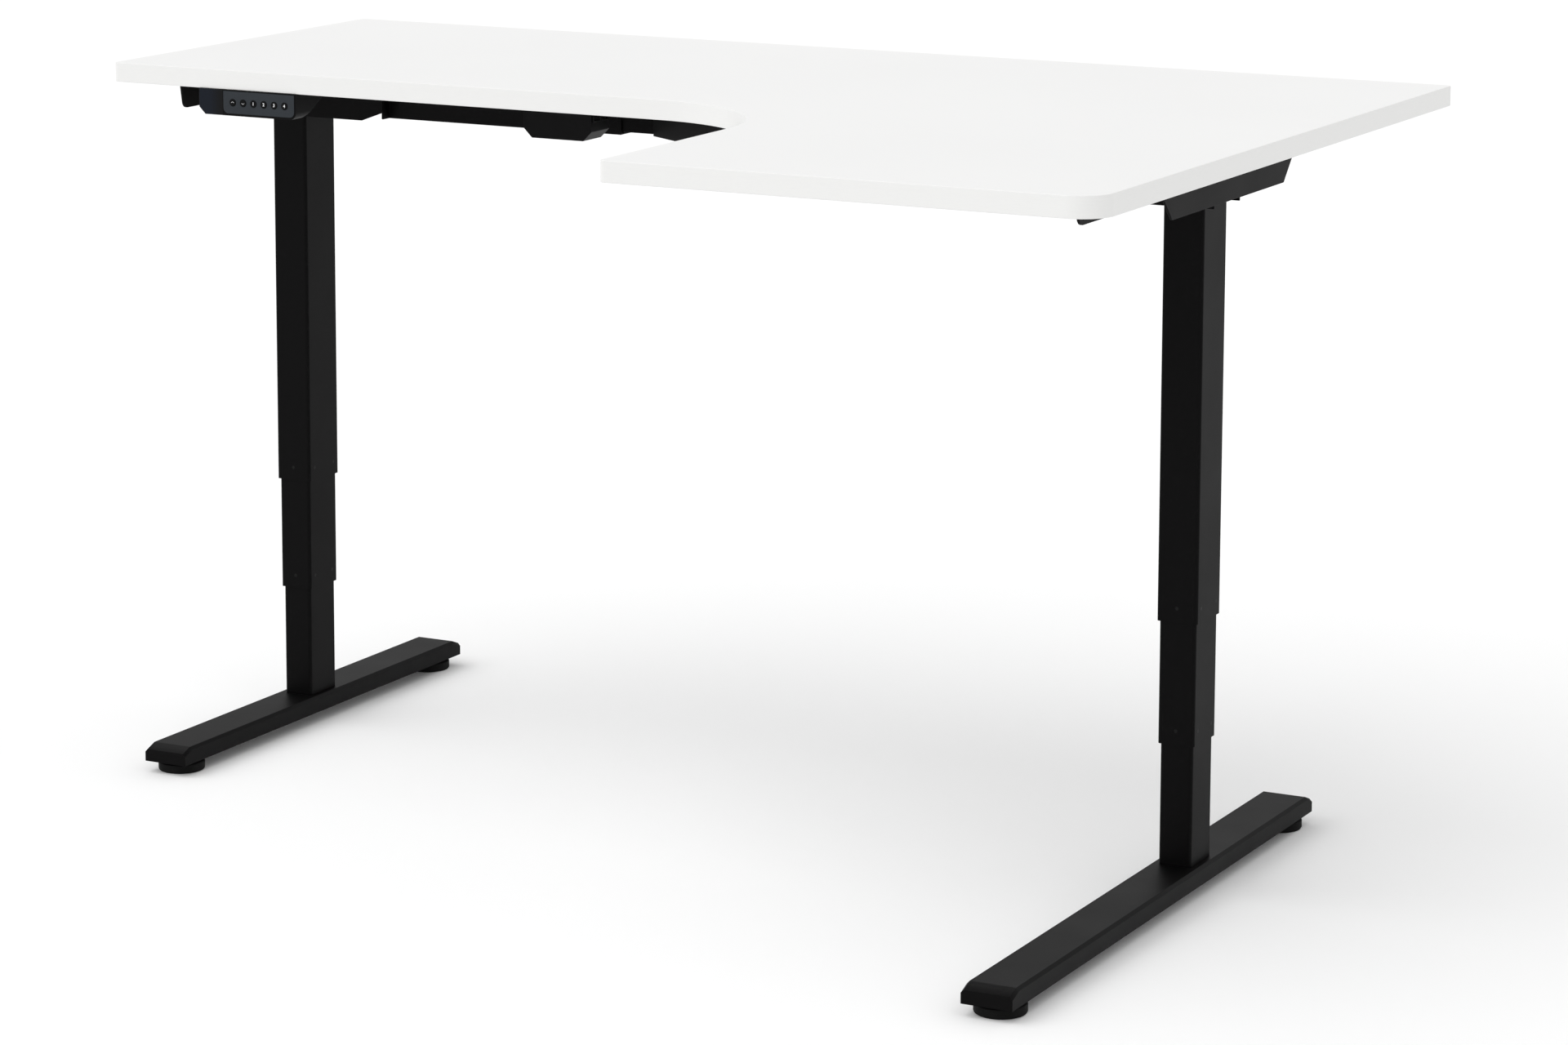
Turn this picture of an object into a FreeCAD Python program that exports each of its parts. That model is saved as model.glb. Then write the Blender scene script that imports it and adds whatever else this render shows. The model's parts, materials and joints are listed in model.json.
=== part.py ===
"""L-shaped height adjustable standing desk on two telescopic columns.

Frame: origin on the floor under the middle of the desk's outline, +X along the
main arm to the right, +Y to the back edge, +Z up.  Sizes are in millimetres.
"""
import FreeCAD
import Part
import os
import re
import Sketcher
from FreeCAD import Placement, Rotation, Vector

doc = FreeCAD.newDocument("StandingDesk")

# ---------------------------------------------------------------- driving sizes
SIZES = {
    # desktop
    "top_width": 1600, "main_depth": 600, "side_depth": 1100, "return_width": 600,
    "top_thick": 25, "desk_height": 910, "inner_round": 200, "front_round": 40,
    "corner_round": 8, "band_thick": 1.5,
    # how far the two columns stand in from the top's ends and its back edge
    "left_end_gap": 121, "left_back_gap": 340, "right_end_gap": 121, "right_back_gap": 541,
    # feet and floor pads
    "foot_gap": 15, "foot_height": 22, "foot_width": 62, "foot_sheet": 2.5,
    "foot_slope_run": 16, "foot_slope_drop": 6, "foot_bevel": 3.5,
    "left_foot_front": 344, "left_foot_back": 338,
    "right_foot_front": 557, "right_foot_back": 340,
    "pad_inset": 37, "pad_radius": 30, "pad_height": 13, "pad_rim": 2, "pad_toe": 1.5, "pad_shoulder": 4,
    "pad_stem": 4, "pad_boss": 9, "boss_lift": 2, "stem_gap": 0.05, "stem_play": 1,
    # telescopic tubes
    "tube_x": 51, "tube_y": 72, "tube_wall": 1.5, "stage_gap": 1, "tube_round": 4,
    "inner_length": 470, "middle_length": 480, "inner_shown": 147, "middle_shown": 148,
    "tube_floor": 4, "glide_thick": 0.7, "glide_height": 34, "stud_height": 17,
    "stud_radius": 2.2, "stud_edge": 13,
    # lifting screws
    "drive_radius": 7, "drive_end": 20, "sleeve_bore": 7.5, "sleeve_radius": 10,
    "sleeve_end": 6, "nut_height": 16, "nut_y": 50, "thread_gap": 0.05, "journal": 20, "end_play": 0.5,
    # gearboxes, motors and the channels over them
    "head_drop": 61, "head_width": 80, "head_sheet": 2.5, "head_outer": 39.5,
    "head_inner": 148, "head_bevel": 32, "head_bevel_rise": 12, "gear_x": 58, "gear_lift": 8, "spigot": 12,
    "spigot_y": 60, "motor_radius": 22, "motor_length": 64, "motor_cap": 15,
    "motor_cap_length": 8, "motor_lift": 3, "bolt_lift": 30,
    # rails and arm
    "rail_width": 44, "rail_drop": 58, "rail_wall": 2.5, "sleeve_length": 347,
    "bar_width": 38, "bar_height": 52, "bar_overlap": 150,
    "side_rail_width": 40, "side_rail_step": 8, "flange_thick": 3, "flange_gap": 3,
    "arm_root_gap": 83, "arm_angle": 32, "arm_length": 1010, "arm_level": 350, "arm_width": 40,
    "arm_root_drop": 57, "arm_tip_drop": 28, "arm_sheet": 2.5,
    "arm_back": 60, "wall_reach": 200,
    # side brackets
    "bracket_length": 450, "bracket_sheet": 3, "bracket_flange": 26, "bracket_round": 9,
    "bracket_screw_in": 30, "left_bracket_drop": 34, "right_bracket_drop": 56,
    "left_bracket_slope": 6, "right_bracket_slope": 54,
    "front_bracket_gap": 4, "front_bracket_length": 204, "front_bracket_drop": 28,
    "front_bracket_round": 12,
    # control box
    "box_gap": 54, "box_length": 98, "box_set_back": 110, "box_depth": 46,
    "box_drop": 50, "box_wall": 2, "box_slope": 12, "lid_thick": 3, "lid_ear": 14, "lid_screw_in": 20,
    "board_thick": 1.6, "board_margin": 4, "board_gap": 8, "coil_in": 36, "coil_radius": 9,
    "coil_height": 14, "can_in": 62, "can_radius": 8, "can_height": 16, "part_back": 23,
    "pillar_in": 24, "pillar_back": 12, "pillar_size": 8,
    "inlet_width": 28, "inlet_height": 20, "inlet_depth": 16, "inlet_wall": 2, "inlet_end": 3,
    "inlet_proud": 1.5, "inlet_lift": 5, "pin_radius": 1.4, "pin_length": 10, "pin_pitch": 7,
    # handset
    "handset_end_gap": 134, "handset_width": 146, "handset_depth": 62, "handset_drop": 33,
    "handset_nose": 10, "handset_proud": 2, "face_thick": 1.6, "handset_corner": 9,
    "display_width": 36, "cavity_depth": 16, "button_radius": 4.5, "button_gap": 0.3,
    "button_pitch": 15.6, "button_first": 51.5, "button_mid": 16, "button_proud": 1,
    "button_length": 5, "board_clear": 1.4, "shell_wall": 2, "shell_back": 4,
    "screw_in": 22, "screw_back": 16, "well_gap": 0.3, "screw_seat": 6,
    # fasteners
    "screw_shank": 2, "screw_head": 4.2, "screw_head_high": 2.2, "screw_grip": 14,
    "bolt_shank": 3, "bolt_head": 5.4, "bolt_head_high": 3.6, "bolt_grip": 6,
    "bolt_spacing": 34, "foot_bolt_x": 11, "foot_bolt_y": 22,
}

sheet = doc.addObject("Spreadsheet::Sheet", "Sizes")
for row, (alias, value) in enumerate(SIZES.items(), start=1):
    sheet.set(f"A{row}", alias)
    sheet.set(f"B{row}", str(value))
    sheet.setAlias(f"B{row}", alias)
doc.recompute()

# heights that several pieces share
UNDERSIDE = "(desk_height - top_thick)"
FOOT_TOP = "(foot_gap + foot_height)"
MIDDLE_BOTTOM = f"({FOOT_TOP} + inner_shown)"
OUTER_BOTTOM = f"({MIDDLE_BOTTOM} + middle_shown)"
OUTER_TOP = f"({UNDERSIDE} - head_drop + gear_lift)"
INNER_TOP = f"({FOOT_TOP} + inner_length)"
MIDDLE_TOP = f"({MIDDLE_BOTTOM} + middle_length)"
MAIN_FRONT = "(side_depth / 2 - main_depth)"
FACE_Y = f"({MAIN_FRONT} - handset_proud)"
SIDES = {"left": 1, "right": -1}            # +1 where the desk's middle lies towards +X

# the columns' centres, and the ends that other pieces take from them
COLUMN_X = {"left": "(left_end_gap - top_width / 2)", "right": "(top_width / 2 - right_end_gap)"}
COLUMN_Y = {side: f"(side_depth / 2 - {side}_back_gap)" for side in SIDES}
SLEEVE_LEFT = f"({COLUMN_X['left']} + head_inner)"
SLEEVE_RIGHT = f"({SLEEVE_LEFT} + sleeve_length)"
BAR_LEFT = f"({SLEEVE_RIGHT} - bar_overlap)"
BAR_RIGHT = f"({COLUMN_X['right']} - head_inner + side_rail_step)"
BEAM_FRONT = f"({COLUMN_Y['left']} - bar_width / 2)"
ARM_ROOT = f"({SLEEVE_RIGHT} + arm_root_gap)"
BOX_RIGHT = f"({ARM_ROOT} - box_gap)"
BOX_LEFT = f"({BOX_RIGHT} - box_length)"
BOX_FRONT = f"({MAIN_FRONT} + box_set_back)"
HANDSET_LEFT = "(handset_end_gap - top_width / 2)"
PLATE_X = f"({COLUMN_X['right']} + head_outer)"
PLATE_BACK = f"({COLUMN_Y['right']} - bracket_length / 2 - front_bracket_gap)"
PLATE_FRONT = f"({PLATE_BACK} - front_bracket_length)"


def bound(text):
    """Spell an expression with the sheet's name before each alias."""
    return re.sub(r"[a-z_]+", lambda word: "Sizes." + word.group(0)
                  if word.group(0) in SIZES else word.group(0), str(text))


def bind(thing, **expressions):
    """Bind properties to sizes; a double underscore stands for a dot."""
    for name, text in expressions.items():
        thing.setExpression(name.replace("__", "."), bound(text))
    return thing


def place(thing, x="0", y="0", z="0"):
    return bind(thing, Placement__Base__x=x, Placement__Base__y=y, Placement__Base__z=z)


# ---------------------------------------------------------------- primitives
def box(x, y, z, length, width, height):
    """A block from its low corner."""
    block = doc.addObject("Part::Box", "Block")
    bind(block, Length=length, Width=width, Height=height)
    return place(block, x, y, z)


def rod(x, y, z, radius, height, axis="z"):
    """A cylinder from the centre of one end along +X, +Y or +Z."""
    cylinder = doc.addObject("Part::Cylinder", "Rod")
    turns = {"z": Rotation(), "x": Rotation(Vector(0, 1, 0), 90), "y": Rotation(Vector(1, 0, 0), -90)}
    cylinder.Placement = Placement(Vector(), turns[axis])
    bind(cylinder, Radius=radius, Height=height)
    return place(cylinder, x, y, z)


def taper(x, y, z, low_radius, high_radius, height):
    cone = doc.addObject("Part::Cone", "Taper")
    bind(cone, Radius1=low_radius, Radius2=high_radius, Height=height)
    return place(cone, x, y, z)


def join(label, pieces):
    """One solid from pieces that touch or overlap."""
    joined = doc.addObject("Part::MultiFuse", "Join")
    joined.Shapes = pieces
    joined.Refine = True
    joined.Label = label
    return joined


def group(label, pieces):
    """Separate solids that share one node."""
    together = doc.addObject("Part::Compound", "Group")
    together.Links = pieces
    together.Label = label
    return together


def cut(label, base, tools):
    tool = tools[0] if len(tools) == 1 else group("cut_tools", tools)
    result = doc.addObject("Part::Cut", "Cut")
    result.Base = base
    result.Tool = tool
    result.Label = label
    return result


# ---------------------------------------------------------------- PartDesign
def new_body(label):
    body = doc.addObject("PartDesign::Body", "Body")
    body.Label = label
    return body


def sketch_on(body, plane, height="0"):
    """A sketch on one of the body's origin planes, moved along its normal."""
    sketch = body.newObject("Sketcher::SketchObject", "Sketch")
    planes = {item.Role: item for item in body.Origin.OriginFeatures}
    sketch.AttachmentSupport = (planes[plane], [""])
    sketch.MapMode = "FlatFace"
    return bind(sketch, AttachmentOffset__Base__z=height)


def value_of(text):
    """The number that an expression gives with the sheet's values."""
    return float(sheet.evalExpression(bound(text)))


def polygon(sketch, points):
    """A closed outline; each point is held by two bound distances."""
    places = [Vector(value_of(x), value_of(y), 0) for x, y in points]
    count = len(places)
    for index in range(count):
        sketch.addGeometry(Part.LineSegment(places[index], places[(index + 1) % count]), False)
    for index in range(count):
        following = (index + 1) % count
        sketch.addConstraint(Sketcher.Constraint("Coincident", index, 2, following, 1))
    for index, (x, y) in enumerate(points):
        for kind, text, number in (("DistanceX", x, places[index].x), ("DistanceY", y, places[index].y)):
            at = sketch.addConstraint(Sketcher.Constraint(kind, -1, 1, index, 1, number))
            sketch.setExpression(f"Constraints[{at}]", bound(text))
    return sketch


def rectangle(sketch, low_x, low_y, high_x, high_y):
    return polygon(sketch, [(low_x, low_y), (high_x, low_y), (high_x, high_y), (low_x, high_y)])


def centred(sketch, wide, deep):
    return rectangle(sketch, f"-({wide}) / 2", f"-({deep}) / 2", f"({wide}) / 2", f"({deep}) / 2")


def circles(sketch, centres, radius):
    """Full circles; each is held by its bound centre and radius."""
    for index, (x, y) in enumerate(centres):
        middle = Vector(value_of(x), value_of(y), 0)
        sketch.addGeometry(Part.Circle(middle, Vector(0, 0, 1), value_of(radius)), False)
        held = (Sketcher.Constraint("DistanceX", -1, 1, index, 3, middle.x),
                Sketcher.Constraint("DistanceY", -1, 1, index, 3, middle.y),
                Sketcher.Constraint("Radius", index, value_of(radius)))
        for constraint, text in zip(held, (x, y, radius)):
            at = sketch.addConstraint(constraint)
            sketch.setExpression(f"Constraints[{at}]", bound(text))
    return sketch


def pad(body, sketch, length):
    feature = body.newObject("PartDesign::Pad", "Pad")
    feature.Profile = sketch
    return bind(feature, Length=length)


def hollow(body, sketch, depth):
    """A pocket that cuts along the sketch's own normal."""
    feature = body.newObject("PartDesign::Pocket", "Pocket")
    feature.Profile = sketch
    feature.Reversed = True
    return bind(feature, Length=depth)


def dress(body, kind, size, wanted):
    """A Fillet or Chamfer on the tip's edges that the test picks."""
    doc.recompute()
    base = body.Tip
    names = [f"Edge{number}" for number, edge in enumerate(base.Shape.Edges, start=1) if wanted(edge)]
    feature = body.newObject("PartDesign::" + kind, kind)
    feature.Base = (base, names)
    return bind(feature, **{"Radius" if kind == "Fillet" else "Size": size})


def along(edge, axis):
    """True where a straight edge runs along an axis (0, 1 or 2)."""
    if not isinstance(edge.Curve, (Part.Line, Part.LineSegment)):
        return False
    return abs(edge.tangentAt(edge.FirstParameter)[axis]) > 0.999


# ---------------------------------------------------------------- tubes and glides
def tube(wide, deep, length, floor, label):
    """A round-cornered rectangular tube, with a welded plate at its foot where floor isn't 0."""
    body = new_body(label)
    pad(body, centred(sketch_on(body, "XY_Plane"), wide, deep), length)
    dress(body, "Fillet", "tube_round", lambda edge: along(edge, 2))
    inside = centred(sketch_on(body, "XY_Plane", floor), f"{wide} - 2 * tube_wall", f"{deep} - 2 * tube_wall")
    hollow(body, inside, f"{length} - {floor}")
    half = value_of(wide) / 2
    dress(body, "Fillet", "tube_round - tube_wall",
          lambda edge: along(edge, 2) and abs(abs(edge.CenterOfMass.x) - half + SIZES["tube_wall"]) < 0.01)
    return body


def strips(x, y, z, wide, deep, height, outward):
    """Four flat glide strips on the flats of a wide x deep rectangle, standing out or in from it."""
    run_x = f"({wide} - 2 * tube_round)"
    run_y = f"({deep} - 2 * tube_round)"
    out = "0" if outward else "glide_thick"
    back = "glide_thick" if outward else "0"
    return [box(f"{x} - {run_x} / 2", f"{y} + {deep} / 2 - {out}", z, run_x, "glide_thick", height),
            box(f"{x} - {run_x} / 2", f"{y} - {deep} / 2 - {back}", z, run_x, "glide_thick", height),
            box(f"{x} + {wide} / 2 - {out}", f"{y} - {run_y} / 2", z, "glide_thick", run_y, height),
            box(f"{x} - {wide} / 2 - {back}", f"{y} - {run_y} / 2", z, "glide_thick", run_y, height)]


def lower_glide(x, y, bottom, wide, deep):
    """Strips inside a tube's lower end, each held by studs through the tube's wall."""
    inside = strips(x, y, bottom, f"({wide} - 2 * tube_wall)",
                    f"({deep} - 2 * tube_wall)", "glide_height", False)
    pins = stage_studs(x, y, bottom, wide, deep)
    back, front, right, left = inside
    return [join("glide", [back, pins[0]]), join("glide", [front, pins[1]]),
            join("glide", [right, pins[2], pins[3]]), join("glide", [left, pins[4], pins[5]])]


def stage_studs(x, y, bottom, wide, deep):
    """The six studs of one stage end: back, front, two right, two left."""
    level = f"{bottom} + stud_height"
    pins = [rod(x, f"{y} + {deep} / 2 - tube_wall", level, "stud_radius", "tube_wall", "y"),
            rod(x, f"{y} - {deep} / 2", level, "stud_radius", "tube_wall", "y")]
    for start in (f"{x} + {wide} / 2 - tube_wall", f"{x} - {wide} / 2"):
        for way in ("+", "-"):
            across = f"{y} {way} ({deep} / 2 - stud_edge)"
            pins.append(rod(start, across, level, "stud_radius", "tube_wall", "x"))
    return pins


MIDDLE_X = "(tube_x - 2 * tube_wall - 2 * stage_gap)"
MIDDLE_Y = "(tube_y - 2 * tube_wall - 2 * stage_gap)"
INNER_X = "(tube_x - 4 * tube_wall - 4 * stage_gap)"
INNER_Y = "(tube_y - 4 * tube_wall - 4 * stage_gap)"


# ---------------------------------------------------------------- foot, pads, base stage
def foot(side):
    """A pressed channel, open below, with bosses for the pads and holes for the column bolts."""
    front = f"-{side}_foot_front"
    back = f"{side}_foot_back"
    body = new_body(f"{side}_foot")
    outline = sketch_on(body, "YZ_Plane", "-foot_width / 2")
    shoulder = f"{FOOT_TOP} - foot_slope_drop"
    polygon(outline, [(front, "foot_gap"), (back, "foot_gap"), (back, shoulder),
                      (f"{back} - foot_slope_run", FOOT_TOP), (f"{front} + foot_slope_run", FOOT_TOP),
                      (front, shoulder)])
    pad(body, outline, "foot_width")
    shelf = value_of("foot_gap") + 1
    dress(body, "Chamfer", "foot_bevel", lambda edge: not along(edge, 0) and not along(edge, 2)
          and edge.BoundBox.ZMin > shelf)
    inside = sketch_on(body, "XY_Plane", "foot_gap")
    rectangle(inside, "-foot_width / 2 + foot_sheet", f"{front} + foot_sheet",
              "foot_width / 2 - foot_sheet", f"{back} - foot_sheet")
    hollow(body, inside, "foot_height - foot_slope_drop - foot_sheet")
    pads = [("0", f"{front} + pad_inset"), ("0", f"{back} - pad_inset")]
    pad(body, circles(sketch_on(body, "XY_Plane", "foot_gap + boss_lift"), pads, "pad_boss"),
        "foot_height - foot_slope_drop - foot_sheet - boss_lift")
    hollow(body, circles(sketch_on(body, "XY_Plane", "foot_gap"), pads, "pad_stem + stem_gap"),
           "foot_height - foot_sheet")
    bolts = [(f"{a} foot_bolt_x", f"{b} foot_bolt_y") for a in ("1 *", "-1 *") for b in ("1 *", "-1 *")]
    hollow(body, circles(sketch_on(body, "XY_Plane", "foot_gap"), bolts, "bolt_shank"), "foot_height")
    place(body, COLUMN_X[side], COLUMN_Y[side])
    return body


FOOT_ROOF = f"({FOOT_TOP} - foot_slope_drop - foot_sheet)"


def foot_bolts(side):
    """Four cap screws, heads inside the channel, that clamp the column's plate to the foot."""
    made = []
    for a in ("+", "-"):
        for b in ("+", "-"):
            x = f"{COLUMN_X[side]} {a} foot_bolt_x"
            y = f"{COLUMN_Y[side]} {b} foot_bolt_y"
            head = rod(x, y, f"{FOOT_ROOF} - bolt_head_high", "bolt_head", "bolt_head_high")
            shank = rod(x, y, FOOT_ROOF, "bolt_shank", f"{FOOT_TOP} + tube_floor - {FOOT_ROOF}")
            made.append(join("bolt", [head, shank]))
    return group(f"{side}_foot_bolts", made)


def floor_pad(side, name, end, sign):
    """A round levelling pad on its threaded stem."""
    reach = f"{side}_foot_{end} - pad_inset"
    x = COLUMN_X[side]
    y = f"{COLUMN_Y[side]} {sign} ({reach})"
    rim = "pad_rim"
    disc = [taper(x, y, "0", "pad_radius - pad_toe", "pad_radius", rim),
            rod(x, y, rim, "pad_radius", "pad_height - 2 * pad_rim"),
            taper(x, y, f"pad_height - {rim}", "pad_radius", "pad_radius - pad_shoulder", rim),
            rod(x, y, "pad_height", "pad_stem", f"{FOOT_TOP} - foot_sheet - pad_height - stem_play")]
    join(f"{side}_{name}_pad", disc)


def base_stage(side):
    x = COLUMN_X[side]
    y = COLUMN_Y[side]
    inner = tube(INNER_X, INNER_Y, "inner_length", "tube_floor", "inner_blank")
    place(inner, x, y, FOOT_TOP)
    holes = [rod(f"{x} {a} foot_bolt_x", f"{y} {b} foot_bolt_y", FOOT_TOP, "bolt_shank", "tube_floor")
             for a in ("+", "-") for b in ("+", "-")]
    cut(f"{side}_inner_tube", inner, holes)
    group(f"{side}_inner_glide", strips(x, y, f"{INNER_TOP} - glide_height", INNER_X, INNER_Y,
                                        "glide_height", True))
    wide = f"({INNER_X} - 2 * tube_wall)"
    block = box(f"{x} - {wide} / 2", f"{y} - nut_y / 2", f"{INNER_TOP} - nut_height",
                wide, "nut_y", "nut_height")
    cut(f"{side}_inner_nut", block,
        [rod(x, y, f"{INNER_TOP} - nut_height", "sleeve_radius + thread_gap", "nut_height")])
    foot(side)
    foot_bolts(side)
    floor_pad(side, "front", "front", "-")
    floor_pad(side, "rear", "back", "+")


# ---------------------------------------------------------------- middle stage
def middle_stage(side):
    x = COLUMN_X[side]
    y = COLUMN_Y[side]
    blank = tube(MIDDLE_X, MIDDLE_Y, "middle_length", "0", "middle_blank")
    place(blank, x, y, MIDDLE_BOTTOM)
    cut(f"{side}_middle_tube", blank, stage_studs(x, y, MIDDLE_BOTTOM, MIDDLE_X, MIDDLE_Y))
    group(f"{side}_middle_glide",
          lower_glide(x, y, MIDDLE_BOTTOM, MIDDLE_X, MIDDLE_Y)
          + strips(x, y, f"{MIDDLE_TOP} - glide_height", MIDDLE_X, MIDDLE_Y, "glide_height", True))
    wide = f"({MIDDLE_X} - 2 * tube_wall)"
    low = f"({MIDDLE_TOP} - nut_height)"
    cut(f"{side}_middle_nut",
        box(f"{x} - {wide} / 2", f"{y} - nut_y / 2", low, wide, "nut_y", "nut_height"),
        [rod(x, y, low, "drive_radius + thread_gap", "nut_height")])
    bottom = f"({MIDDLE_BOTTOM} + sleeve_end)"
    length = f"{low} - end_play - {bottom}"
    cut(f"{side}_middle_screw", rod(x, y, bottom, "sleeve_radius", length),
        [rod(x, y, bottom, "sleeve_bore", length)])


# ---------------------------------------------------------------- upper stage
def head_bolt_places(side):
    """X, level and the way (+ back, - front) of the four bolts through a head's cheeks."""
    return [(f"{COLUMN_X[side]} {a} bolt_spacing / 2", way) for a in ("+", "-") for way in ("+", "-")]


BOLT_LEVEL = f"({OUTER_TOP} + bolt_lift)"


def bolt_rods(side, radius, start, length):
    """Cylinders along Y on the head bolts' axes, from start to start + length off the column's centre."""
    made = []
    for x, way in head_bolt_places(side):
        begin = f"{COLUMN_Y[side]} + {start}" if way == "+" else f"{COLUMN_Y[side]} - ({start}) - ({length})"
        made.append(rod(x, begin, BOLT_LEVEL, radius, length, "y"))
    return made


def head_channel(side, sign):
    """A folded channel under the top, over the gearbox and motor, bevelled at its inner end."""
    body = new_body("head_blank")
    # the XZ plane's normal points to -Y
    outline = sketch_on(body, "XZ_Plane", "-head_width / 2")
    low = f"{UNDERSIDE} - head_drop"
    outer = f"{-sign} * head_outer"
    inner = f"{sign} * head_inner"
    polygon(outline, [(outer, low), (f"{inner} - {sign} * head_bevel", low),
                      (inner, f"{low} + head_bevel_rise"),
                      (inner, UNDERSIDE), (outer, UNDERSIDE)])
    pad(body, outline, "head_width")
    place(body, COLUMN_X[side], COLUMN_Y[side])
    start = f"{COLUMN_X[side]} - head_outer" if sign > 0 else f"{COLUMN_X[side]} - head_inner"
    hollow_box = box(start, f"{COLUMN_Y[side]} - head_width / 2 + head_sheet", low, "head_outer + head_inner",
                     "head_width - 2 * head_sheet", "head_drop - head_sheet")
    holes = bolt_rods(side, "bolt_shank", "head_width / 2 - head_sheet", "head_sheet")
    cut(f"{side}_head", body, [hollow_box] + holes)


def upper_stage(side, sign):
    x = COLUMN_X[side]
    y = COLUMN_Y[side]
    length = f"({OUTER_TOP} - {OUTER_BOTTOM})"
    blank = tube("tube_x", "tube_y", length, "0", "outer_blank")
    place(blank, x, y, OUTER_BOTTOM)
    cut(f"{side}_outer_tube", blank, stage_studs(x, y, OUTER_BOTTOM, "tube_x", "tube_y"))
    group(f"{side}_outer_glide", lower_glide(x, y, OUTER_BOTTOM, "tube_x", "tube_y"))
    # gearbox with a spigot that plugs into the tube
    cheek = "(head_width - 2 * head_sheet)"
    roof = f"({UNDERSIDE} - head_sheet)"
    bore = "(tube_x - 2 * tube_wall)"
    housing = box(f"{x} - gear_x / 2", f"{y} - {cheek} / 2", OUTER_TOP,
                  "gear_x", cheek, f"{roof} - {OUTER_TOP}")
    spigot = box(f"{x} - {bore} / 2", f"{y} - spigot_y / 2", f"{OUTER_TOP} - spigot",
                 bore, "spigot_y", "spigot")
    solid = join("gear_solid", [housing, spigot])
    holes = bolt_rods(side, "bolt_shank", f"{cheek} / 2 - bolt_grip", "bolt_grip")
    holes.append(rod(x, y, f"{OUTER_TOP} - spigot", "drive_radius + thread_gap", "journal"))
    cut(f"{side}_gearbox", solid, holes)
    drive_low = f"({OUTER_BOTTOM} + drive_end)"
    drive = rod(x, y, drive_low, "drive_radius", f"{OUTER_TOP} - spigot + journal - end_play - {drive_low}")
    drive.Label = f"{side}_drive_screw"
    # motor beside the gearbox, towards the desk's middle
    level = f"({OUTER_TOP} + motor_radius + motor_lift)"
    total = "(motor_length + motor_cap_length)"
    start = f"{x} + gear_x / 2" if sign > 0 else f"{x} - gear_x / 2 - motor_length"
    cap = f"{x} + gear_x / 2 + motor_length" if sign > 0 else f"{x} - gear_x / 2 - {total}"
    join(f"{side}_motor", [rod(start, y, level, "motor_radius", "motor_length", "x"),
                           rod(cap, y, level, "motor_cap", "motor_cap_length", "x")])
    head_channel(side, sign)
    side_bracket(side, sign)


def bracket_screw_places(side):
    return [f"{COLUMN_Y[side]} {way} bracket_length / 2 {back} bracket_screw_in"
            for way, back in (("+", "-"), ("-", "+"))]


def side_bracket(side, sign):
    """A folded sheet across the head's outer end, screwed up into the top."""
    body = new_body("bracket_blank")
    outline = sketch_on(body, "YZ_Plane")
    run = f"{side}_bracket_slope"
    drop = f"{UNDERSIDE} - {side}_bracket_drop"
    half = "bracket_length / 2"
    polygon(outline, [(f"-{half}", UNDERSIDE), (f"-{half} + {run}", drop), (f"{half} - {run}", drop),
                      (half, UNDERSIDE)])
    pad(body, outline, "bracket_sheet")
    if side == "left":
        dress(body, "Fillet", "bracket_round",
              lambda edge: along(edge, 0) and edge.CenterOfMass.z < value_of(UNDERSIDE) - 1)
    outer = f"{COLUMN_X[side]} - {sign} * head_outer"
    start = f"{outer} - bracket_sheet" if sign > 0 else outer
    place(body, start, COLUMN_Y[side])
    shelf_start = outer if sign > 0 else f"{outer} - bracket_flange"
    shelves = []
    for way in ("+", "-"):
        begin = f"{COLUMN_Y[side]} + head_width / 2" if way == "+" else f"{COLUMN_Y[side]} - {half}"
        shelf = box(shelf_start, begin, f"{UNDERSIDE} - bracket_sheet", "bracket_flange",
                    f"{half} - head_width / 2", "bracket_sheet")
        shelves.append(shelf)
    whole = join("bracket_solid", [body] + shelves)
    middle = f"{outer} + {sign} * bracket_flange / 2"
    holes = [rod(middle, y, f"{UNDERSIDE} - bracket_sheet", "screw_shank", "bracket_sheet")
             for y in bracket_screw_places(side)]
    cut(f"{side}_side_bracket", whole, holes)


# ---------------------------------------------------------------- rails and arm
def rails():
    middle = COLUMN_Y["left"]
    low = f"({UNDERSIDE} - rail_drop)"
    outside = box(SLEEVE_LEFT, f"{middle} - rail_width / 2", low, "sleeve_length", "rail_width", "rail_drop")
    inside = box(SLEEVE_LEFT, f"{middle} - rail_width / 2 + rail_wall", f"{low} + rail_wall",
                 "sleeve_length", "rail_width - 2 * rail_wall", "rail_drop - 2 * rail_wall")
    flange = box(f"{SLEEVE_LEFT} - flange_thick", f"{middle} - head_width / 2 + head_sheet", low,
                 "flange_thick",
                 "head_width - 2 * head_sheet", "rail_drop - head_sheet - flange_gap")
    join("crossbeam_sleeve", [cut("sleeve_tube", outside, [inside]), flange])
    # the bar is drawn up against the sleeve's roof
    floor = f"({UNDERSIDE} - rail_wall - bar_height)"
    length = f"({BAR_RIGHT} - {BAR_LEFT})"
    bar = box(BAR_LEFT, f"{middle} - bar_width / 2", floor, length, "bar_width", "bar_height")
    core = box(BAR_LEFT, f"{middle} - bar_width / 2 + rail_wall", f"{floor} + rail_wall", length,
               "bar_width - 2 * rail_wall", "bar_height - 2 * rail_wall")
    cut("crossbeam_bar", bar, [core])
    back_face = f"({COLUMN_Y['right']} + head_width / 2)"
    reach = f"({middle} + bar_width / 2 - {back_face})"
    rail = box(BAR_RIGHT, back_face, floor, "side_rail_width", reach, f"{UNDERSIDE} - {floor}")
    hole = box(f"{BAR_RIGHT} + rail_wall", back_face, f"{floor} + rail_wall",
               "side_rail_width - 2 * rail_wall",
               reach, f"{UNDERSIDE} - {floor} - 2 * rail_wall")
    cut("side_rail", rail, [hole])


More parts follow.
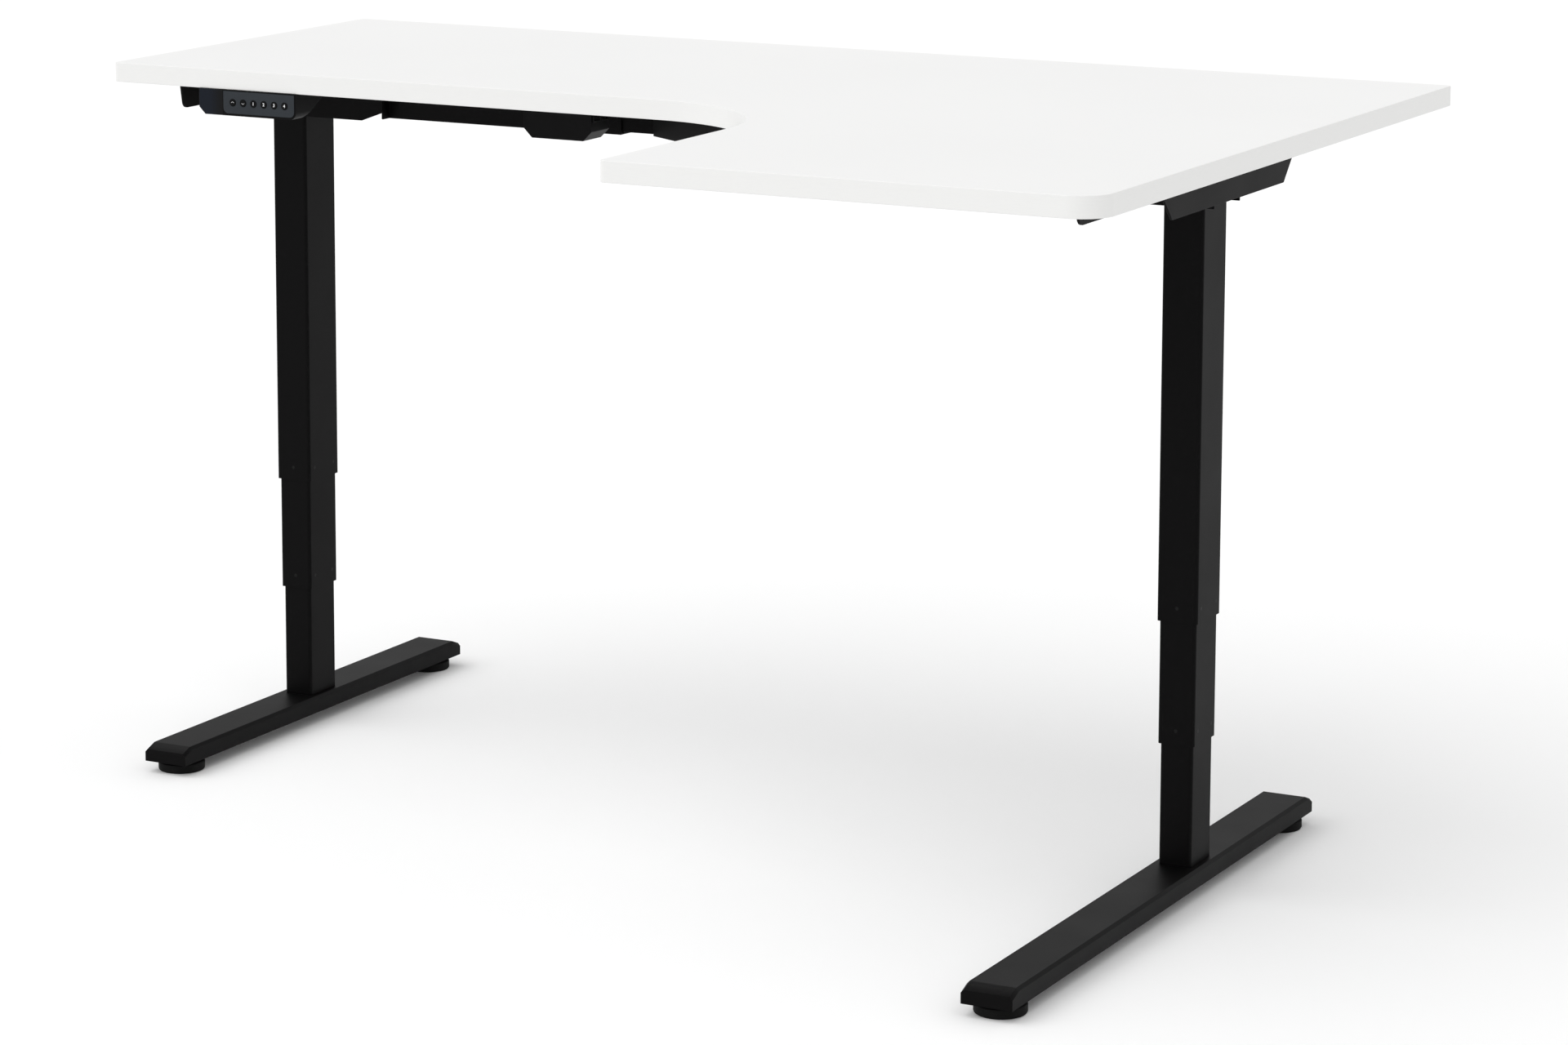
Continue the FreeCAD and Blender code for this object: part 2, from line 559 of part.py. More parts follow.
def front_bracket_screws():
    x = f"{PLATE_X} - bracket_flange / 2"
    return [(x, f"{PLATE_FRONT} + bracket_screw_in"), (x, f"{PLATE_BACK} - bracket_screw_in")]


def front_bracket():
    """A short folded sheet under the side arm's front, that takes the return arm's end."""
    low = f"({UNDERSIDE} - front_bracket_drop)"
    body = new_body("front_plate")
    outline = sketch_on(body, "YZ_Plane")
    rectangle(outline, PLATE_FRONT, low, PLATE_BACK, UNDERSIDE)
    pad(body, outline, "bracket_sheet")
    front = value_of(PLATE_FRONT)
    floor = value_of(low)
    dress(body, "Fillet", "front_bracket_round", lambda edge: along(edge, 0)
          and abs(edge.CenterOfMass.y - front) < 0.01 and abs(edge.CenterOfMass.z - floor) < 0.01)
    place(body, PLATE_X)
    shelf = box(f"{PLATE_X} - bracket_flange", PLATE_FRONT, f"{UNDERSIDE} - bracket_sheet",
                "bracket_flange", "front_bracket_length", "bracket_sheet")
    holes = [rod(x, y, f"{UNDERSIDE} - bracket_sheet", "screw_shank", "bracket_sheet")
             for x, y in front_bracket_screws()]
    cut("front_bracket", join("front_bracket_solid", [body, shelf]), holes)


def return_arm():
    """A channel, open below, from the crossbeam to the front bracket, level and then tapered."""
    body = new_body("arm_blank")
    outline = sketch_on(body, "XZ_Plane", "-arm_width / 2")
    polygon(outline, [("-arm_back", UNDERSIDE), ("-arm_back", f"{UNDERSIDE} - arm_root_drop"),
                      ("arm_level", f"{UNDERSIDE} - arm_root_drop"),
                      ("arm_length", f"{UNDERSIDE} - arm_tip_drop"), ("arm_length", UNDERSIDE)])
    pad(body, outline, "arm_width")
    inside = sketch_on(body, "XZ_Plane", "-arm_width / 2 + arm_sheet")
    rectangle(inside, "-arm_back", f"{UNDERSIDE} - arm_root_drop", "arm_length", f"{UNDERSIDE} - arm_sheet")
    hollow(body, inside, "arm_width - 2 * arm_sheet")
    body.Placement = Placement(Vector(), Rotation(Vector(0, 0, -1), SIZES["arm_angle"]))
    bind(body, Placement__Rotation__Angle="arm_angle")
    place(body, ARM_ROOT, BEAM_FRONT)
    # trimmed flush with the beam, with the front bracket's plate, and under its flange
    wall = box(f"{ARM_ROOT} - wall_reach", BEAM_FRONT, f"{UNDERSIDE} - wall_reach",
               "2 * wall_reach", "wall_reach", "2 * wall_reach")
    end = box(PLATE_X, PLATE_FRONT, f"{UNDERSIDE} - wall_reach", "wall_reach", "front_bracket_length",
              "2 * wall_reach")
    slot = box(f"{PLATE_X} - bracket_flange", PLATE_FRONT, f"{UNDERSIDE} - bracket_sheet",
               "bracket_flange", "front_bracket_length", "bracket_sheet")
    cut("return_arm", body, [wall, end, slot])


# ---------------------------------------------------------------- control box
def control_box():
    low = f"({UNDERSIDE} - box_drop)"
    top = f"({UNDERSIDE} - lid_thick)"
    back = f"({BOX_FRONT} + box_depth)"
    body = new_body("control_blank")
    # the sketch plane's normal points to -Y, so it stands at the box's back
    outline = sketch_on(body, "XZ_Plane", f"-{back}")
    polygon(outline, [(f"{BOX_LEFT} + box_slope", low), (f"{BOX_RIGHT} - box_slope", low),
                      (BOX_RIGHT, f"{low} + box_slope"), (BOX_RIGHT, top), (BOX_LEFT, top),
                      (BOX_LEFT, f"{low} + box_slope")])
    pad(body, outline, "box_depth")
    inside = sketch_on(body, "XZ_Plane", f"box_wall - {back}")
    polygon(inside, [(f"{BOX_LEFT} + box_slope + box_wall", f"{low} + box_wall"),
                     (f"{BOX_RIGHT} - box_slope - box_wall", f"{low} + box_wall"),
                     (f"{BOX_RIGHT} - box_wall", f"{low} + box_slope + box_wall"),
                     (f"{BOX_RIGHT} - box_wall", top),
                     (f"{BOX_LEFT} + box_wall", top),
                     (f"{BOX_LEFT} + box_wall", f"{low} + box_slope + box_wall")])
    hollow(body, inside, "box_depth - 2 * box_wall")
    inlet_y = f"({BOX_FRONT} + box_depth / 2 - inlet_width / 2)"
    inlet_z = f"({low} + box_slope + inlet_lift)"
    socket = box(BOX_LEFT, inlet_y, inlet_z, "box_wall", "inlet_width", "inlet_height")
    cut("control_box", body, [socket])
    lid = box(BOX_LEFT, f"{BOX_FRONT} - lid_ear", top, "box_length", "box_depth + lid_ear", "lid_thick")
    cut("control_lid", lid, [rod(x, y, top, "screw_shank", "lid_thick") for x, y in box_screw_places()])
    # circuit board hung from the lid, with a coil and a capacitor below it
    level = f"({top} - board_gap)"
    margin = "(box_wall + board_margin)"
    board = box(f"{BOX_LEFT} + {margin}", f"{BOX_FRONT} + {margin}", level, f"box_length - 2 * {margin}",
                f"box_depth - 2 * {margin}", "board_thick")
    part_y = f"{BOX_FRONT} + part_back"
    coil = rod(f"{BOX_RIGHT} - coil_in", part_y, f"{level} - coil_height", "coil_radius", "coil_height")
    can = rod(f"{BOX_RIGHT} - can_in", part_y, f"{level} - can_height", "can_radius", "can_height")
    pillar = box(f"{BOX_RIGHT} - pillar_in", f"{BOX_FRONT} + pillar_back", f"{level} + board_thick",
                 "pillar_size", "pillar_size", "board_gap - board_thick")
    join("control_board", [board, coil, can, pillar])
    # mains inlet: a bowl with three pins
    mouth = f"({BOX_LEFT} - inlet_proud)"
    shell = box(mouth, inlet_y, inlet_z, "inlet_depth", "inlet_width", "inlet_height")
    bowl = box(mouth, f"{inlet_y} + inlet_wall", f"{inlet_z} + inlet_wall", "inlet_depth - inlet_end",
               "inlet_width - 2 * inlet_wall", "inlet_height - 2 * inlet_wall")
    pin_start = f"{mouth} + inlet_depth - inlet_end - pin_length + pin_radius"
    pins = [rod(pin_start, f"{inlet_y} + inlet_width / 2 + {step} * pin_pitch",
                f"{inlet_z} + inlet_height / 2", "pin_radius", "pin_length", "x")
                for step in ("-1", "0", "1")]
    join("mains_inlet", [cut("inlet_shell", shell, [bowl])] + pins)


def box_screw_places():
    y = f"{BOX_FRONT} - lid_ear / 2"
    return [(f"{BOX_LEFT} + lid_screw_in", y), (f"{BOX_RIGHT} - lid_screw_in", y)]


# ---------------------------------------------------------------- handset
def handset_form(label, left, right, start, depth, inset, corners):
    """A block whose front outline is the handset's: a cut lower left and a round lower right corner."""
    low = f"({UNDERSIDE} - handset_drop + {inset})"
    top = f"({UNDERSIDE} - {inset})"
    low_left = [(left, low)]
    if "cut" in corners:
        low_left = [(left, f"{low} + handset_corner"), (f"{left} + handset_corner", low)]
    body = new_body(label)
    # the XZ plane's normal points to -Y, so the sketch stands at the block's back
    outline = sketch_on(body, "XZ_Plane", f"-({start}) - ({depth})")
    polygon(outline, low_left + [(right, low), (right, top), (left, top)])
    pad(body, outline, depth)
    if "round" in corners:
        floor = value_of(low)
        far = value_of(right)
        dress(body, "Fillet", "handset_corner", lambda edge: along(edge, 1)
              and abs(edge.CenterOfMass.x - far) < 0.01 and abs(edge.CenterOfMass.z - floor) < 0.01)
    return body


def handset():
    """A wedge under the front edge with a display, a button plate and six buttons."""
    end = f"({HANDSET_LEFT} + handset_width)"
    low = f"({UNDERSIDE} - handset_drop)"
    face = f"({FACE_Y} + face_thick)"
    wedge = new_body("handset_wedge")
    outline = sketch_on(wedge, "YZ_Plane", HANDSET_LEFT)
    polygon(outline, [(face, UNDERSIDE), (face, low), (f"{FACE_Y} + cavity_depth + shell_back", low),
                      (f"{FACE_Y} + handset_depth", f"{UNDERSIDE} - handset_nose"),
                      (f"{FACE_Y} + handset_depth", UNDERSIDE)])
    pad(wedge, outline, "handset_width")
    whole = doc.addObject("Part::Common", "Handset")
    whole.Base = wedge
    whole.Tool = handset_form("handset_outline", HANDSET_LEFT, end, face, "handset_depth", "0", "cut round")
    room = handset_form("handset_room", f"{HANDSET_LEFT} + shell_wall", f"{end} - shell_wall", face,
                        "cavity_depth - face_thick", "shell_wall", "cut round")
    screws = []
    for x, y in handset_screw_places():
        screws.append(rod(x, y, low, "screw_head + well_gap", "handset_drop - screw_seat"))
        screws.append(rod(x, y, f"{UNDERSIDE} - screw_seat", "screw_shank", "screw_seat"))
    cut("handset_body", whole, [room] + screws)
    # front plate with the button holes, and the display beside it
    split = f"({HANDSET_LEFT} + display_width)"
    plate = handset_form("face_blank", split, end, FACE_Y, "face_thick", "0", "round")
    level = f"({UNDERSIDE} - button_mid)"
    centres = [f"({HANDSET_LEFT} + button_first + {index} * button_pitch)" for index in range(6)]
    cut("handset_face", plate, [rod(x, FACE_Y, level, "button_radius + button_gap", "face_thick", "y")
                                for x in centres])
    handset_form("handset_display", HANDSET_LEFT, split, FACE_Y, "face_thick", "0", "cut")
    names = ("up", "down", "memory_1", "memory_2", "memory_3", "memory_4")
    for name, x in zip(names, centres):
        button = rod(x, f"{FACE_Y} - button_proud", level, "button_radius", "button_length", "y")
        button.Label = f"button_{name}"
    board_y = f"{FACE_Y} + button_length - button_proud + board_clear"
    margin = "(shell_wall + handset_corner)"
    box(f"{HANDSET_LEFT} + {margin}", board_y, f"{low} + shell_wall", f"handset_width - 2 * {margin}",
        "board_thick", "handset_drop - 2 * shell_wall").Label = "handset_board"


def handset_screw_places():
    y = f"{FACE_Y} + handset_depth - screw_back"
    return [(f"{HANDSET_LEFT} + screw_in", y), (f"{HANDSET_LEFT} + handset_width - screw_in", y)]


# ---------------------------------------------------------------- fasteners and top
def top_screws():
    """X, Y and head level of each wood screw that goes up into the top."""
    found = []
    for side, sign in SIDES.items():
        middle = f"{COLUMN_X[side]} - {sign} * head_outer + {sign} * bracket_flange / 2"
        found += [(middle, y, f"{UNDERSIDE} - bracket_sheet") for y in bracket_screw_places(side)]
    found += [(x, y, f"{UNDERSIDE} - bracket_sheet") for x, y in front_bracket_screws()]
    found += [(x, y, f"{UNDERSIDE} - lid_thick") for x, y in box_screw_places()]
    found += [(x, y, f"{UNDERSIDE} - screw_seat") for x, y in handset_screw_places()]
    return found


def wood_screws():
    made = []
    for x, y, level in top_screws():
        head = rod(x, y, f"{level} - screw_head_high", "screw_head", "screw_head_high")
        shank = rod(x, y, level, "screw_shank", f"{UNDERSIDE} + screw_grip - ({level})")
        made.append(join("screw", [head, shank]))
    group("desktop_screws", made)


def frame_bolts():
    """Cap screws through the head cheeks into both gearboxes."""
    made = []
    for side in SIDES:
        reach = "head_sheet + bolt_grip"
        shanks = bolt_rods(side, "bolt_shank", "head_width / 2 - head_sheet - bolt_grip", reach)
        heads = bolt_rods(side, "bolt_head", "head_width / 2", "bolt_head_high")
        made += [join("bolt", [shank, head]) for shank, head in zip(shanks, heads)]
    group("frame_bolts", made)


def top_outline(body, z, inset):
    """The L outline, drawn in from the finished edge by the band's thickness."""
    left = f"-top_width / 2 + {inset}"
    right = f"top_width / 2 - {inset}"
    step = f"top_width / 2 - return_width + {inset}"
    back = f"side_depth / 2 - {inset}"
    main = f"side_depth / 2 - main_depth + {inset}"
    front = f"-side_depth / 2 + {inset}"
    sketch = sketch_on(body, "XY_Plane", z)
    return polygon(sketch, [(left, main), (step, main), (step, front),
                            (right, front), (right, back), (left, back)])


def top_blank(label, inset):
    body = new_body(label)
    pad(body, top_outline(body, UNDERSIDE, inset), "top_thick")
    half = value_of(f"top_width / 2 - return_width + {inset}")
    crook = value_of(f"{MAIN_FRONT} + {inset}")
    far_x = value_of(f"top_width / 2 - {inset}")
    far_y = value_of(f"-side_depth / 2 + {inset}")

    def at(edge, x, y):
        middle = edge.CenterOfMass
        return along(edge, 2) and abs(middle.x - x) < 0.1 and abs(middle.y - y) < 0.1

    dress(body, "Fillet", f"inner_round + {inset}", lambda edge: at(edge, half, crook))
    dress(body, "Fillet", f"front_round - {inset}", lambda edge: at(edge, far_x, far_y))
    dress(body, "Fillet", f"corner_round - {inset}", lambda edge: along(edge, 2)
          and any(at(edge, x, y) for x, y in ((-far_x, crook), (-far_x, -far_y),
                                              (far_x, -far_y), (half, far_y))))
    return body


def desktop():
    core = top_blank("core_blank", "band_thick")
    holes = [rod(x, y, UNDERSIDE, "screw_shank", "screw_grip") for x, y, level in top_screws()]
    cut("desktop_board", core, holes)
    edge = top_blank("edge_blank", "0")
    inner = top_blank("edge_inner", "band_thick")
    cut("edge_band", edge, [inner])


for side_name, inward in SIDES.items():
    base_stage(side_name)
    middle_stage(side_name)
    upper_stage(side_name, inward)
rails()
front_bracket()
return_arm()
control_box()
handset()
wood_screws()
frame_bolts()
desktop()
doc.recompute()

# ---------------------------------------------------------------- checks and export
NODES = [f"{side}_{name}" for side in SIDES for name in (
    "foot", "foot_bolts", "inner_tube", "inner_glide", "inner_nut", "front_pad", "rear_pad",
    "middle_tube", "middle_glide", "middle_nut", "middle_screw",
    "outer_tube", "outer_glide", "gearbox", "drive_screw", "motor", "head", "side_bracket")]
NODES += ["crossbeam_sleeve", "crossbeam_bar", "side_rail", "front_bracket", "return_arm",
          "control_box", "control_lid",
          "control_board", "mains_inlet", "handset_body", "handset_face", "handset_display",
          "handset_board", "button_up", "button_down", "button_memory_1", "button_memory_2",
          "button_memory_3", "button_memory_4", "desktop_screws", "frame_bolts", "desktop_board", "edge_band"]

failed = [item.Label for item in doc.Objects if {"Invalid", "Error"} & set(item.State)]
if failed:
    raise RuntimeError(f"features failed: {failed}")
os.makedirs("parts", exist_ok=True)
shapes = {}
for node in NODES:
    found = doc.getObjectsByLabel(node)
    if len(found) != 1:
        raise RuntimeError(f"{node}: {len(found)} objects")
    shape = found[0].Shape
    if shape.isNull() or not shape.isValid() or not shape.Solids:
        raise RuntimeError(f"{node}: bad shape")
    shapes[node] = shape
for node, shape in shapes.items():
    shape.exportStep(f"parts/{node}.step")
print(f"{len(shapes)} sub-parts written")
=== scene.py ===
import json
from math import cos, pi, radians, sin

import bpy
from mathutils import Matrix, Vector


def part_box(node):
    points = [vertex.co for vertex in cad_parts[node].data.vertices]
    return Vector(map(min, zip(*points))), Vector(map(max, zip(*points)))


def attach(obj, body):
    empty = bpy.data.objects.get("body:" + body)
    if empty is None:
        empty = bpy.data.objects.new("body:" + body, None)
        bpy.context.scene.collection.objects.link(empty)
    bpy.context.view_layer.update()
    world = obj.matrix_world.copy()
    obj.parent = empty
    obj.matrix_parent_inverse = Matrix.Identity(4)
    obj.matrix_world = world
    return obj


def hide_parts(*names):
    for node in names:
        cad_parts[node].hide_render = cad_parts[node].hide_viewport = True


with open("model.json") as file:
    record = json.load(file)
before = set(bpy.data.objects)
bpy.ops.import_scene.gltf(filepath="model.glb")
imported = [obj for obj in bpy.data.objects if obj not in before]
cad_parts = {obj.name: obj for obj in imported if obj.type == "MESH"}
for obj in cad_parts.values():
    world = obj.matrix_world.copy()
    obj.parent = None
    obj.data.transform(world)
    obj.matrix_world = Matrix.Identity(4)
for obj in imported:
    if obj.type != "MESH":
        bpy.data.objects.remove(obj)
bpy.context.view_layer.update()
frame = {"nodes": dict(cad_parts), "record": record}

# ---------------------------------------------------------------- what the frame says
RECORD = frame["record"]
NODES = frame["nodes"]
BODY_OF = {node: body for body, nodes in RECORD["behaviour"]["bodies"].items() for node in nodes}
SLOT_OF = {row["node"]: row["material_slot"] for row in RECORD["subparts"]}
SIDES = ("left", "right")
BUTTONS = ("up", "down", "memory_1", "memory_2", "memory_3", "memory_4")
MM = 0.001
FACING = 0.9  # how far along an axis a normal points when its face looks that way


def middle_of(node):
    low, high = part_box(node)
    return (Vector(low) + Vector(high)) / 2


# ---------------------------------------------------------------- finishes
class Amount:
    """A number in a material; sums on it add their Math nodes."""

    def __init__(self, finish, socket):
        self.finish = finish
        self.socket = socket

    def sum(self, operation, first, second):
        return self.finish.number("ShaderNodeMath", {"operation": operation}, {0: first, 1: second})

    def __add__(self, other):
        return self.sum("ADD", self, other)

    def __sub__(self, other):
        return self.sum("SUBTRACT", self, other)

    def __rsub__(self, other):
        return self.sum("SUBTRACT", other, self)

    def __mul__(self, other):
        return self.sum("MULTIPLY", self, other)

    __radd__ = __add__
    __rmul__ = __mul__


class Finish:
    """A material on Object coordinates, with its constants set on the shader's own sockets."""

    def __init__(self, name, **constants):
        self.material = bpy.data.materials.new(name)
        self.material.use_nodes = True
        self.tree = self.material.node_tree
        self.shader = self.tree.nodes["Principled BSDF"]
        for socket, value in constants.items():
            self.feed(self.shader.inputs[socket.replace("_", " ")], value)
        place = self.tree.nodes.new("ShaderNodeTexCoord")
        self.place = place.outputs["Object"]

    def feed(self, socket, value):
        if isinstance(value, Amount):
            value = value.socket
        if isinstance(value, bpy.types.NodeSocket):
            self.tree.links.new(value, socket)
        else:
            socket.default_value = value

    def node(self, kind, settings, sockets):
        made = self.tree.nodes.new(kind)
        for name, value in settings.items():
            setattr(made, name, value)
        for key, value in sockets.items():
            self.feed(made.inputs[key], value)
        return made

    def number(self, kind, settings, sockets, output=0):
        return Amount(self, self.node(kind, settings, sockets).outputs[output])

    def stretched(self, x, y, z):
        """Object coordinates, scaled apart along each axis."""
        return self.node("ShaderNodeMapping", {}, {"Vector": self.place, "Scale": (x, y, z)}).outputs[0]

    def clouds(self, grains_per_metre, detail=2.0, place=None):
        return self.number("ShaderNodeTexNoise", {}, {
            "Vector": place or self.place, "Scale": grains_per_metre, "Detail": detail, "Roughness": 0.55})

    def pebbles(self, grains_per_metre):
        return self.number("ShaderNodeTexVoronoi", {"feature": "SMOOTH_F1"}, {
            "Vector": self.place, "Scale": grains_per_metre, "Smoothness": 0.6})

    def bands(self, rings_per_metre, axis):
        wave_length = pi / 10
        return self.number("ShaderNodeTexWave", {"bands_direction": axis, "wave_profile": "TRI"}, {
            "Vector": self.place, "Scale": rings_per_metre * wave_length}, 1)

    def above(self, amount, low, high):
        """0 below low, 1 above high, and a smooth step between."""
        return self.number("ShaderNodeMapRange", {"interpolation_type": "SMOOTHSTEP"}, {
            "Value": amount, "From Min": low, "From Max": high})

    def tint(self, low, high, mask):
        """Base Color from low to high as mask goes from 0 to 1."""
        mixed = self.node("ShaderNodeMix", {"data_type": "RGBA"}, {0: mask, 6: (*low, 1), 7: (*high, 1)})
        self.feed(self.shader.inputs["Base Color"], mixed.outputs[2])

    def rough(self, low, high, mask):
        self.feed(self.shader.inputs["Roughness"], mask * (high - low) + low)

    def relief(self, height, depth, strength=1.0):
        """A bump of that depth in metres."""
        bump = self.node("ShaderNodeBump", {}, {"Height": height, "Distance": depth, "Strength": strength})
        self.feed(self.shader.inputs["Normal"], bump.outputs[0])


def melamine():
    """White melamine board: a faint pearl grain and hardly any mottling."""
    finish = Finish("white_melamine")
    mottle = finish.clouds(3, 4)
    finish.tint((0.785, 0.785, 0.78), (0.81, 0.81, 0.805), mottle)
    pearl = finish.clouds(900, 3)
    finish.rough(0.40, 0.52, mottle * 0.5 + pearl * 0.5)
    finish.relief(pearl, 0.00004, 0.35)
    return finish.material


def edging():
    """The white edge strip, a touch smoother than the board, with drawn lines along it."""
    finish = Finish("white_edge_strip")
    drawn = finish.clouds(60, 3, finish.stretched(1, 1, 30))
    finish.tint((0.755, 0.755, 0.745), (0.80, 0.80, 0.79), drawn)
    finish.rough(0.34, 0.44, drawn)
    finish.relief(drawn, 0.00003, 0.3)
    return finish.material


def powder_coat():
    """Black satin powder coat: orange peel, finer specks and slow changes of sheen."""
    finish = Finish("black_powder_coat", Specular_IOR_Level=0.07)
    peel = finish.clouds(520, 2)
    specks = finish.clouds(2600, 1)
    sheen = finish.clouds(9, 3)
    finish.tint((0.0010, 0.0009, 0.0010), (0.0021, 0.0019, 0.0021), specks)
    finish.rough(0.40, 0.56, sheen * 0.6 + specks * 0.4)
    finish.relief(peel * 0.75 + specks * 0.25, 0.00007, 0.5)
    return finish.material


def moulded(name, dark, light, grains_per_metre, depth, low, high):
    """Injection-moulded plastic with a spark-eroded grain."""
    finish = Finish(name, Specular_IOR_Level=0.08)
    grain = finish.pebbles(grains_per_metre)
    smears = finish.clouds(25, 3)
    finish.tint(dark, light, smears)
    finish.rough(low, high, smears * 0.7 + grain * 0.3)
    finish.relief(grain, depth, 0.6)
    return finish.material


def turned_metal(name, dark, light, rings_per_metre, axis, depth, low, high):
    """Bare metal with turned rings or a thread along one axis, and oily smears."""
    finish = Finish(name, Metallic=1.0)
    rings = finish.bands(rings_per_metre, axis)
    smears = finish.clouds(40, 3)
    finish.tint(dark, light, smears * 0.6 + rings * 0.4)
    finish.rough(low, high, smears)
    finish.relief(rings, depth, 0.8)
    return finish.material


def black_zinc():
    finish = Finish("black_zinc", Metallic=1.0)
    blush = finish.clouds(120, 3)
    finish.tint((0.045, 0.046, 0.050), (0.095, 0.095, 0.100), blush)
    finish.rough(0.28, 0.45, blush)
    finish.relief(finish.clouds(1500, 2), 0.00003, 0.5)
    return finish.material


def casting():
    finish = Finish("die_cast_alloy", Metallic=0.9)
    skin = finish.clouds(300, 4)
    blotches = finish.clouds(30, 3)
    finish.tint((0.30, 0.30, 0.305), (0.46, 0.46, 0.465), blotches * 0.6 + skin * 0.4)
    finish.rough(0.45, 0.62, skin)
    finish.relief(skin, 0.00018, 0.7)
    return finish.material


def drawn_steel():
    finish = Finish("zinc_plated_can", Metallic=1.0)
    lines = finish.clouds(500, 3, finish.stretched(0.04, 1, 1))
    finish.tint((0.24, 0.24, 0.25), (0.38, 0.38, 0.39), lines)
    finish.rough(0.26, 0.42, lines)
    finish.relief(lines, 0.00003, 0.5)
    return finish.material


def solder_mask():
    """Green circuit board with paler tracks and scattered tinned pads."""
    finish = Finish("green_circuit_board")
    cells = finish.number("ShaderNodeTexVoronoi", {"feature": "DISTANCE_TO_EDGE"},
                          {"Vector": finish.place, "Scale": 260.0})
    tracks = 1 - finish.above(cells, 0.04, 0.09)
    finish.tint((0.012, 0.11, 0.035), (0.05, 0.24, 0.09), tracks)
    finish.rough(0.28, 0.42, tracks)
    finish.relief(tracks, 0.00006, 0.7)
    return finish.material


def handset_paint():
    """Dark slate front plate with a fine satin texture."""
    finish = Finish("slate_front_plate", Specular_IOR_Level=0.2)
    grain = finish.pebbles(2400)
    slow = finish.clouds(35, 3)
    finish.tint((0.017, 0.021, 0.026), (0.026, 0.031, 0.037), slow)
    finish.rough(0.40, 0.52, slow * 0.6 + grain * 0.4)
    finish.relief(grain, 0.00003, 0.5)
    return finish.material


def display_glass():
    """Smoked window: navy where the digits would light, black towards the buttons."""
    finish = Finish("smoked_display", Specular_IOR_Level=0.15)
    low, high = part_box("handset_display")
    across = finish.number("ShaderNodeSeparateXYZ", {}, {0: finish.place})
    fade = finish.above(across, low[0] + 0.35 * (high[0] - low[0]), high[0])
    finish.tint((0.0022, 0.0045, 0.0105), (0.0006, 0.0006, 0.0008), fade)
    finish.rough(0.10, 0.20, finish.clouds(60, 3))
    finish.relief(finish.clouds(90, 2), 0.00002, 0.2)
    return finish.material


def screen_print():
    """White ink with slightly uneven cover."""
    finish = Finish("white_print")
    cover = finish.clouds(1800, 3)
    finish.tint((0.62, 0.63, 0.64), (0.86, 0.86, 0.86), cover)
    finish.rough(0.45, 0.6, cover)
    finish.relief(cover, 0.00001, 0.4)
    return finish.material


def studio_paper():
    finish = Finish("studio_paper")
    finish.tint((0.90, 0.90, 0.90), (0.93, 0.93, 0.93), finish.clouds(0.6, 2))
    finish.rough(0.85, 0.95, finish.clouds(4, 2))
    return finish.material


def grey(shade):
    return (shade, shade, shade)


FINISHES = {
    "white_laminate": melamine(),
    "white_edge_band": edging(),
    "black_powder_coat": powder_coat(),
    "glide_plastic": moulded("glide_nylon", grey(0.006), grey(0.012), 1500, 0.00003, 0.34, 0.5),
    "nut_brass": turned_metal("machined_brass", (0.52, 0.36, 0.13), (0.70, 0.52, 0.22),
                              900, "Z", 0.00006, 0.22, 0.4),
    "screw_steel": turned_metal("oiled_screw", (0.30, 0.30, 0.31), grey(0.50),
                                330, "Z", 0.0011, 0.2, 0.36),
    "fastener_steel": black_zinc(),
    "gearbox_casting": casting(),
    "motor_steel": drawn_steel(),
    "pad_plastic": moulded("pad_rubber", grey(0.004), grey(0.008), 800, 0.00012, 0.55, 0.78),
    "black_plastic": moulded("black_moulding", (0.0014, 0.0014, 0.0016), (0.0030, 0.0030, 0.0033),
                             1700, 0.00005, 0.36, 0.52),
    "circuit_board": solder_mask(),
    "inlet_plastic": moulded("inlet_moulding", grey(0.005), grey(0.009), 2200, 0.00003, 0.3, 0.42),
    "handset_panel": handset_paint(),
    "display_window": display_glass(),
    "button_plastic": moulded("button_moulding", (0.002, 0.002, 0.0025), (0.004, 0.004, 0.0045),
                              2600, 0.00002, 0.3, 0.42),
}
WHITE_PRINT = screen_print()

for node, part in NODES.items():
    part.data.materials.clear()
    part.data.materials.append(FINISHES[SLOT_OF[node]])


# ---------------------------------------------------------------- bench tools
def only(*pieces):
    """Select these pieces and nothing else."""
    bpy.ops.object.select_all(action="DESELECT")
    for piece in pieces:
        piece.select_set(True)
    bpy.context.view_layer.objects.active = pieces[0]


def open_up(piece, faces=None, edges=None, vertices=None):
    """Enter edit mode with the faces, edges or vertices that a test picks."""
    only(piece)
    mesh = piece.data
    bpy.context.tool_settings.mesh_select_mode = (bool(vertices), bool(edges), bool(faces))
    for parts in (mesh.vertices, mesh.edges, mesh.polygons):
        parts.foreach_set("select", [False] * len(parts))
    if faces:
        for face in mesh.polygons:
            face.select = faces(face)
    if edges:
        for edge in mesh.edges:
            edge.select = edges(*(mesh.vertices[index].co for index in edge.vertices))
    if vertices:
        for vertex in mesh.vertices:
            vertex.select = vertices(vertex.co)
    bpy.ops.object.mode_set(mode="EDIT")


def close_up():
    bpy.ops.object.mode_set(mode="OBJECT")


def extrude(x=0, y=0, z=0):
    bpy.ops.mesh.extrude_region_move(TRANSFORM_OT_translate={"value": (x, y, z)})


def apply(piece, modifier):
    only(piece)
    bpy.ops.object.modifier_apply(modifier=modifier.name)


def set_in_place(piece):
    only(piece)
    bpy.ops.object.transform_apply(location=True, rotation=True, scale=True)


def named(name):
    piece = bpy.context.object
    piece.name = name
    piece.data.name = name
    return piece


def smooth(piece, angle=35):
    """Smooth faces up to that angle, with flats that stay flat."""
    only(piece)
    bpy.ops.object.shade_smooth_by_angle(angle=radians(angle))
    weights = piece.modifiers.new("Flats", "WEIGHTED_NORMAL")
    weights.keep_sharp = True
    apply(piece, weights)


